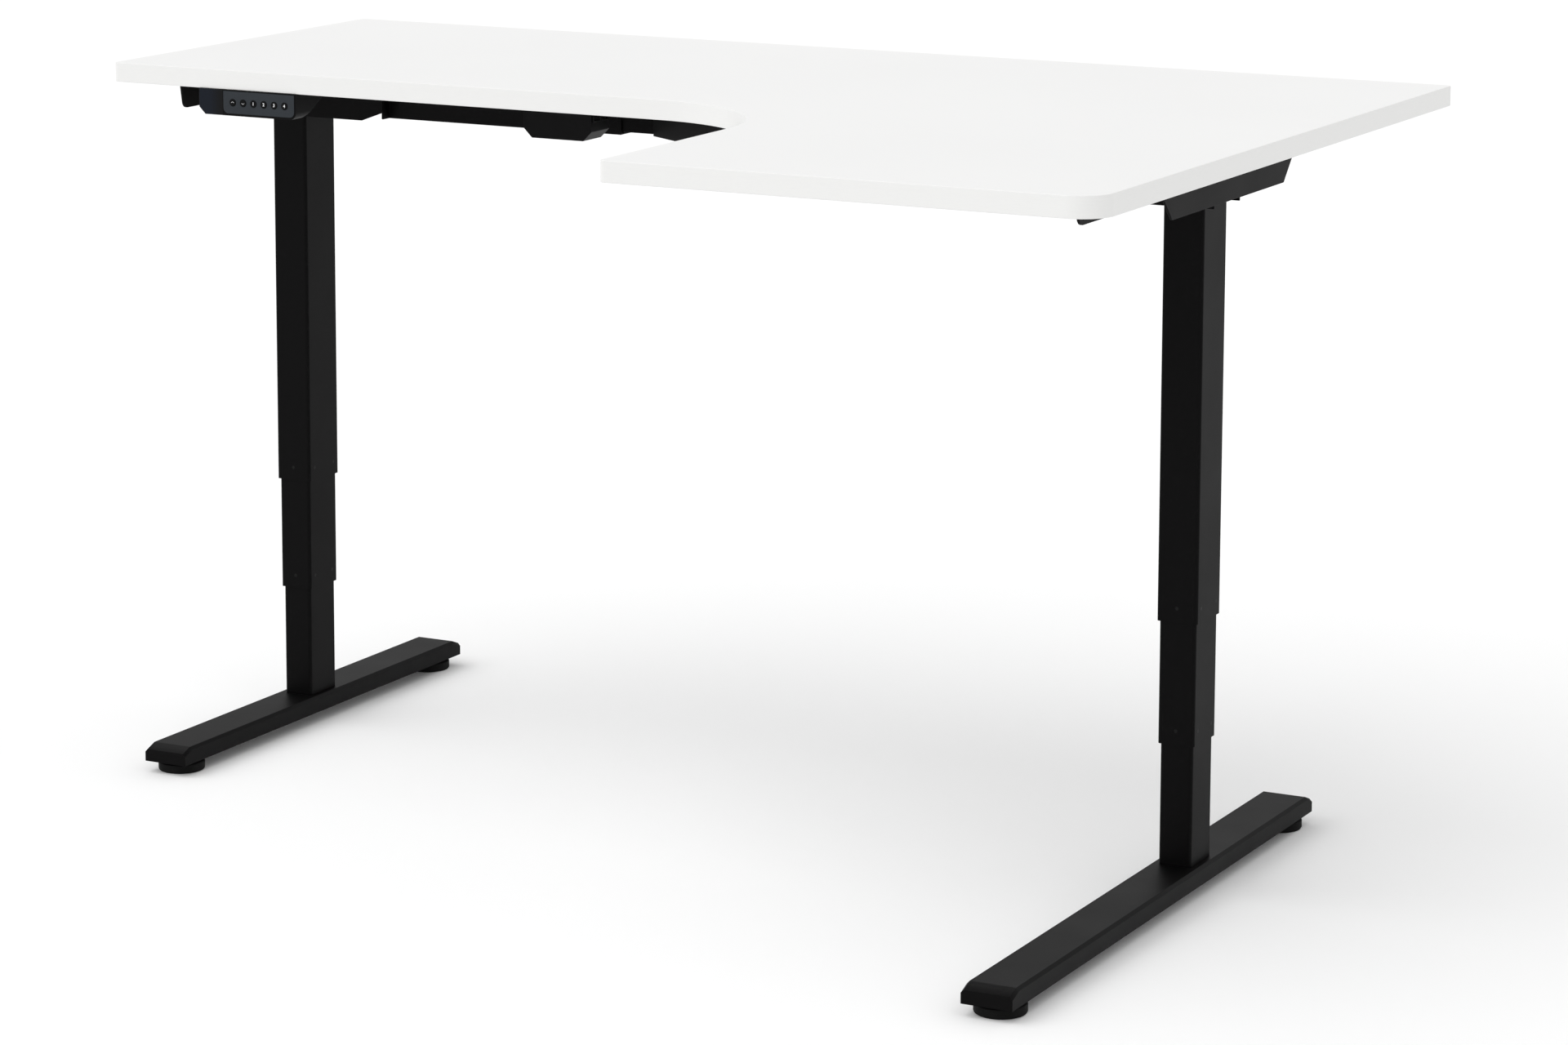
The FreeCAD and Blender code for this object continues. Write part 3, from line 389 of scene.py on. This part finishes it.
def ease(piece, width, segments=2, angle=30):
    """A small round on every edge sharper than the angle."""
    bevel = piece.modifiers.new("Arris", "BEVEL")
    bevel.width = width
    bevel.segments = segments
    bevel.limit_method = "ANGLE"
    bevel.angle_limit = radians(angle)
    apply(piece, bevel)
    smooth(piece)


def carve(piece, tool):
    """Take the tool's shape out of the piece."""
    cut = piece.modifiers.new("Cut", "BOOLEAN")
    cut.operation = "DIFFERENCE"
    cut.object = tool
    cut.solver = "EXACT"
    apply(piece, cut)
    bpy.data.objects.remove(tool)


def paint(piece, finish):
    piece.data.materials.clear()
    piece.data.materials.append(finish)


def belongs(piece, body, slot, *replaced):
    """Say what the piece rides on, whose finish it takes and which nodes it stands for."""
    paint(piece, FINISHES[slot])
    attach(piece, body)
    if replaced:
        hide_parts(*replaced)


def block(name, low, high):
    low, high = Vector(low), Vector(high)
    bpy.ops.object.select_all(action="DESELECT")
    bpy.ops.mesh.primitive_cube_add(size=1, location=(low + high) / 2, scale=high - low)
    piece = named(name)
    set_in_place(piece)
    return piece


def disc(name, place, radius, height, sides=40, turn=(0, 0, 0)):
    """A cylinder about its middle."""
    bpy.ops.object.select_all(action="DESELECT")
    bpy.ops.mesh.primitive_cylinder_add(
        vertices=sides, radius=radius, depth=height, location=place, rotation=turn)
    piece = named(name)
    set_in_place(piece)
    return piece


def copy_of(model, name, place, turn=(0, 0, 0)):
    """The model again, with its own mesh, turned and then put in place."""
    piece = bpy.data.objects.new(name, model.data.copy())
    bpy.context.collection.objects.link(piece)
    piece.rotation_euler = turn
    piece.location = place
    set_in_place(piece)
    return piece


def joined(name, pieces):
    only(*pieces)
    bpy.ops.object.join()
    return named(name)


def from_node(node, name):
    """A node's mesh in a new piece, merged, with its flats whole."""
    piece = bpy.data.objects.new(name, NODES[node].data.copy())
    bpy.context.collection.objects.link(piece)
    open_up(piece, faces=lambda face: True)
    bpy.ops.mesh.remove_doubles(threshold=0.01 * MM)
    bpy.ops.mesh.dissolve_limited(angle_limit=radians(1))
    close_up()
    return piece


def eased(node, width, segments=2, slot=None):
    piece = from_node(node, f"{node}_eased")
    ease(piece, width, segments)
    belongs(piece, BODY_OF[node], slot or SLOT_OF[node], node)
    return piece


# ---------------------------------------------------------------- the top
def edge_strip():
    """The edge band, rounded only on its outer arrises so that it stays tight to the board."""
    board = NODES["desktop_board"]
    piece = from_node("edge_band", "edge_band_eased")
    level, clear_of_board = 0.1 * MM, 0.5 * MM

    def outer_arris(first, second):
        if abs(first.z - second.z) > level:
            return False
        centre = (first + second) / 2
        found, point, normal, face = board.closest_point_on_mesh(centre)
        return found and (point - centre).length > clear_of_board

    open_up(piece, edges=outer_arris)
    bpy.ops.mesh.bevel(offset=0.9 * MM, segments=3, affect="EDGES")
    close_up()
    smooth(piece, 40)
    belongs(piece, BODY_OF["edge_band"], "white_edge_band", "edge_band")


# ---------------------------------------------------------------- fasteners
def screw_head(name, radius, height, shank, rim, segments):
    """A round head below the XY plane, left in edit mode with its shank's root picked."""
    screw = disc(name, (0, 0, -height / 2), radius, height)
    outer = -height * 0.9
    open_up(screw, edges=lambda first, second: first.z < outer and second.z < outer)
    bpy.ops.mesh.bevel(offset=rim, segments=segments, affect="EDGES")
    close_up()
    open_up(screw, faces=lambda face: face.normal.z > FACING)
    bpy.ops.mesh.inset(thickness=radius - shank)
    return screw


def cap_screw(radius, height, shank, length):
    """A socket screw on +Z with its head below: round rim, hexagon socket and shank."""
    screw = screw_head("cap_screw", radius, height, shank, 0.5 * MM, 3)
    extrude(z=length)
    close_up()
    socket, deep = radius * 0.52, height * 1.2
    carve(screw, disc("hexagon", (0, 0, -height), socket, deep, sides=6))
    smooth(screw)
    return screw


def wood_screw(radius, height, shank, length):
    """A pan head screw on +Z with its head below, a crossed recess and a pointed end."""
    screw = screw_head("wood_screw", radius, height, shank, height * 0.6, 4)
    point, tip = 0.2, 0.15
    extrude(z=length * (1 - point))
    extrude(z=length * point)
    bpy.ops.transform.resize(value=(tip, tip, 1))
    close_up()
    arm, blade, deep = radius * 0.55, radius * 0.13, height * 0.7
    for across, along in ((arm, blade), (blade, arm)):
        carve(screw, block("blade", (-across, -along, -height - deep), (across, along, -height + deep)))
    smooth(screw)
    return screw


def head_bolts():
    low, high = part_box("frame_bolts")
    level = (low[2] + high[2]) / 2
    radius = (high[2] - low[2]) / 2
    model = cap_screw(radius, height=3.6 * MM, shank=3 * MM, length=8.5 * MM)
    spread = 17 * MM
    made = []
    for side in SIDES:
        centre = middle_of(f"{side}_outer_tube")
        near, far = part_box(f"{side}_head")
        for x in (centre.x - spread, centre.x + spread):
            made.append(copy_of(model, "bolt", (x, near[1], level), (-pi / 2, 0, 0)))
            made.append(copy_of(model, "bolt", (x, far[1], level), (pi / 2, 0, 0)))
    bpy.data.objects.remove(model)
    belongs(joined("head_cap_screws", made), "upper", "fastener_steel", "frame_bolts")


def column_bolts(side):
    node = f"{side}_foot_bolts"
    low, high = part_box(node)
    radius, height = 5.4 * MM, 3.6 * MM
    model = cap_screw(radius, height, shank=3 * MM, length=high[2] - low[2] - height)
    made = [copy_of(model, "bolt", (x, y, low[2] + height))
            for x in (low[0] + radius, high[0] - radius)
            for y in (low[1] + radius, high[1] - radius)]
    bpy.data.objects.remove(model)
    belongs(joined(f"{side}_column_cap_screws", made), BODY_OF[node], "fastener_steel", node)


def top_screws():
    """Wood screws up through the brackets' flanges, the lid's lip and the handset."""
    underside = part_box("edge_band")[0][2]
    from_flange_edge, from_end, flange = 13 * MM, 30 * MM, 3 * MM
    places = []
    for bracket, inner in (("left_side_bracket", 1), ("right_side_bracket", 0), ("front_bracket", 0)):
        low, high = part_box(bracket)
        x = high[0] - from_flange_edge if inner else low[0] + from_flange_edge
        places += [(x, y, underside - flange) for y in (low[1] + from_end, high[1] - from_end)]
    low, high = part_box("control_lid")
    from_lid_end, from_lid_edge = 20 * MM, 7 * MM
    places += [(x, low[1] + from_lid_edge, low[2])
               for x in (low[0] + from_lid_end, high[0] - from_lid_end)]
    low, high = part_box("handset_body")
    from_side, from_back, roof = 22 * MM, 16 * MM, 6 * MM
    places += [(x, high[1] - from_back, underside - roof)
               for x in (low[0] + from_side, high[0] - from_side)]
    model = wood_screw(radius=4.2 * MM, height=2.2 * MM, shank=2 * MM, length=17 * MM)
    made = [copy_of(model, "screw", place) for place in places]
    bpy.data.objects.remove(model)
    belongs(joined("top_wood_screws", made), "upper", "fastener_steel", "desktop_screws")


# ---------------------------------------------------------------- floor pads
def pad_nuts():
    """The hexagon that a spanner turns, moulded over each pad's stem."""
    level = 14.8 * MM
    model = disc("pad_hexagon", (0, 0, 0), radius=9 * MM, height=3.6 * MM, sides=6)
    ease(model, 0.5 * MM)
    for side in SIDES:
        for end in ("front", "rear"):
            pad = f"{side}_{end}_pad"
            centre = middle_of(pad)
            piece = copy_of(model, f"{pad}_hexagon", (centre.x, centre.y, level))
            smooth(piece)
            belongs(piece, BODY_OF[pad], "pad_plastic")
    bpy.data.objects.remove(model)


# ---------------------------------------------------------------- handset
def handset_plate():
    """The raised slate plate round the buttons, with round lower corners and a hole for each button."""
    low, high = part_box("handset_face")
    front = low[1]
    left, right = low[0] + 1.2 * MM, high[0] - 2.2 * MM
    floor, roof = low[2] + 3.0 * MM, high[2] - 1.6 * MM
    proud, sunk = 0.45 * MM, 0.2 * MM
    piece = block("handset_plate", (left, front - proud, floor), (right, front + sunk, roof))
    same, near_floor = 0.01 * MM, floor + 0.1 * MM

    def lower_corner(first, second):
        return abs(first.x - second.x) < same and first.z < near_floor and second.z < near_floor

    open_up(piece, edges=lower_corner)
    bpy.ops.mesh.bevel(offset=7 * MM, segments=8, affect="EDGES")
    close_up()
    wells = []
    for name in BUTTONS:
        centre = middle_of(f"button_{name}")
        wells.append(disc("well", (centre.x, front, centre.z), radius=4.9 * MM, height=4 * MM,
                          turn=(pi / 2, 0, 0)))
    carve(piece, joined("wells", wells))
    ease(piece, 0.18 * MM, 2)
    belongs(piece, "upper", "handset_panel")


def chevron(name, place, up):
    """An open arrow head, drawn as a round stroke and pressed flat."""
    reach, stroke_radius = 2.1 * MM, 0.34 * MM
    bpy.ops.object.select_all(action="DESELECT")
    bpy.ops.mesh.primitive_circle_add(vertices=4, radius=reach, fill_type="NOTHING")
    piece = named(name)
    open_up(piece, vertices=lambda corner: corner.y < -reach / 2)
    bpy.ops.mesh.delete(type="VERT")
    close_up()
    bpy.ops.object.convert(target="CURVE")
    stroke = bpy.context.object
    stroke.data.bevel_depth = stroke_radius
    stroke.data.bevel_resolution = 2
    stroke.data.use_fill_caps = True
    bpy.ops.object.convert(target="MESH")
    piece = named(name)
    piece.scale = (0.9, 0.62, 0.3)
    piece.location = place
    piece.rotation_euler = (pi / 2, 0 if up else pi, 0)
    set_in_place(piece)
    smooth(piece, 60)
    return piece


def digit(name, text, place):
    bpy.ops.object.select_all(action="DESELECT")
    bpy.ops.object.text_add()
    figure = bpy.context.object
    figure.data.body = text
    figure.data.size = 5.6 * MM
    figure.data.align_x = "CENTER"
    figure.data.align_y = "CENTER"
    figure.data.extrude = 0.06 * MM
    figure.data.offset = 0.12 * MM
    bpy.ops.object.convert(target="MESH")
    piece = named(name)
    piece.location = place
    piece.rotation_euler = (pi / 2, 0, 0)
    set_in_place(piece)
    open_up(piece, faces=lambda face: True)
    bpy.ops.mesh.remove_doubles(threshold=0.001 * MM)
    bpy.ops.mesh.normals_make_consistent(inside=False)
    close_up()
    return piece


def button_marks():
    lifted = 0.02 * MM
    for index, name in enumerate(BUTTONS):
        node = f"button_{name}"
        centre = middle_of(node)
        place = (centre.x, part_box(node)[0][1] - lifted, centre.z)
        mark = f"{node}_mark"
        piece = chevron(mark, place, name == "up") if index < 2 else digit(mark, str(index - 1), place)
        paint(piece, WHITE_PRINT)
        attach(piece, BODY_OF[node])


# ---------------------------------------------------------------- control box and rail ends
def control_housing():
    """The control box with a row of cooling slots through its back wall."""
    low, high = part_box("control_box")
    piece = from_node("control_box", "control_box_slotted")
    count, pitch, width, half_height = 7, 8 * MM, 3 * MM, 9 * MM
    start = low[0] + 22 * MM
    middle = (low[2] + high[2]) / 2 + 6 * MM
    inside, outside = high[1] - 4 * MM, high[1] + 2 * MM
    slots = []
    for step in range(count):
        x = start + step * pitch
        slots.append(block("slot", (x, inside, middle - half_height),
                           (x + width, outside, middle + half_height)))
    carve(piece, joined("slots", slots))
    ease(piece, 0.5 * MM, 2)
    belongs(piece, "upper", "black_plastic", "control_box")


def motor_sockets():
    """Two framed cable sockets on the control box's right-hand wall."""
    low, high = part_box("control_box")
    start, pitch, width, height = 3 * MM, 21 * MM, 18 * MM, 13 * MM
    sunk, proud, frame_width, well = 1 * MM, 1.6 * MM, 1.6 * MM, 2.0 * MM
    z = low[2] + 24 * MM
    for index in range(2):
        y = low[1] + start + index * pitch
        piece = block(f"motor_socket_{index + 1}", (high[0] - sunk, y, z),
                      (high[0] + proud, y + width, z + height))
        open_up(piece, faces=lambda face: face.normal.x > FACING)
        bpy.ops.mesh.inset(thickness=frame_width)
        extrude(x=-well)
        close_up()
        ease(piece, 0.25 * MM)
        belongs(piece, "upper", "inlet_plastic")


def rail_plug():
    """A pressed-in plastic plug that closes the side rail's open back end."""
    low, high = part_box("side_rail")
    margin, lip, wall, spigot = 0.3 * MM, 1.2 * MM, 2.7 * MM, 14 * MM
    border, dish = 5 * MM, 0.6 * MM
    piece = block("side_rail_plug", (low[0] + margin, high[1], low[2] + margin),
                  (high[0] - margin, high[1] + lip, high[2] - margin))
    open_up(piece, faces=lambda face: face.normal.y < -FACING)
    bpy.ops.mesh.inset(thickness=wall)
    extrude(y=-spigot)
    close_up()
    open_up(piece, faces=lambda face: face.normal.y > FACING)
    bpy.ops.mesh.inset(thickness=border)
    extrude(y=-dish)
    close_up()
    ease(piece, 0.45 * MM, 3)
    belongs(piece, "upper", "black_plastic")


# ---------------------------------------------------------------- build
SIDE_EASES = {
    "foot": 0.7, "inner_tube": 0.3, "middle_tube": 0.3, "outer_tube": 0.3, "inner_glide": 0.12,
    "middle_glide": 0.12, "outer_glide": 0.12, "inner_nut": 0.5, "middle_nut": 0.5,
    "gearbox": 0.9, "motor": 1.2, "head": 0.5, "side_bracket": 0.6, "front_pad": 0.8, "rear_pad": 0.8,
}
SHARED_EASES = {
    "crossbeam_sleeve": 0.9, "crossbeam_bar": 0.9, "side_rail": 0.9, "front_bracket": 0.6,
    "return_arm": 0.7, "control_lid": 0.4,
    "handset_body": 0.9, "handset_display": 0.5, "mains_inlet": 0.3,
    "control_board": 0.2, "handset_board": 0.2,
}

edge_strip()
for side in SIDES:
    for part, width in SIDE_EASES.items():
        eased(f"{side}_{part}", width * MM)
    column_bolts(side)
for node, width in SHARED_EASES.items():
    eased(node, width * MM)
for name in BUTTONS:
    eased(f"button_{name}", 0.6 * MM, 3)
eased("handset_face", 0.35 * MM, slot="black_plastic")
head_bolts()
top_screws()
pad_nuts()
handset_plate()
button_marks()
control_housing()
motor_sockets()
rail_plug()


# ---------------------------------------------------------------- studio
def studio_floor():
    bpy.ops.object.select_all(action="DESELECT")
    bpy.ops.mesh.primitive_plane_add(size=80)
    floor = named("studio_floor")
    paint(floor, studio_paper())


def soft_light(name, towards, strength, spread):
    """An even light over the whole floor from that direction, as wide as a big soft box."""
    bpy.ops.object.light_add(type="SUN", location=towards * 4)
    lamp = bpy.context.object
    lamp.name = name
    lamp.data.energy = strength
    lamp.data.angle = radians(spread)
    lamp.rotation_euler = towards.to_track_quat("Z", "Y").to_euler()


def studio_light():
    world = bpy.data.worlds.new("studio")
    bpy.context.scene.world = world
    world.use_nodes = True
    sky = world.node_tree.nodes["Background"]
    sky.inputs["Color"].default_value = (1, 1, 1, 1)
    sky.inputs["Strength"].default_value = 0.82
    soft_light("overhead_front", Vector((-0.40, -0.50, 0.95)), 1.3, 70)


def camera():
    """Turned 27 degrees to the right, 9 down and a hair anticlockwise."""
    turn, tip, roll = radians(27.267), radians(8.908), radians(0.190)
    ahead = Vector((-sin(turn) * cos(tip), cos(turn) * cos(tip), -sin(tip)))
    level = Vector((cos(turn), sin(turn), 0))
    above = level.cross(ahead)
    right = level * cos(roll) + above * sin(roll)
    top = above * cos(roll) - level * sin(roll)
    data = bpy.data.cameras.new("camera")
    view = bpy.data.objects.new("camera", data)
    bpy.context.collection.objects.link(view)
    view.matrix_world = Matrix.Translation((2.7328, -5.0167, 1.6202)) @ Matrix(
        (right, top, -ahead)).transposed().to_4x4()
    data.sensor_width = 36
    data.lens = 108.24
    data.shift_y = -0.177
    bpy.context.scene.camera = view


bpy.context.scene.view_settings.view_transform = "Standard"
studio_floor()
studio_light()
camera()
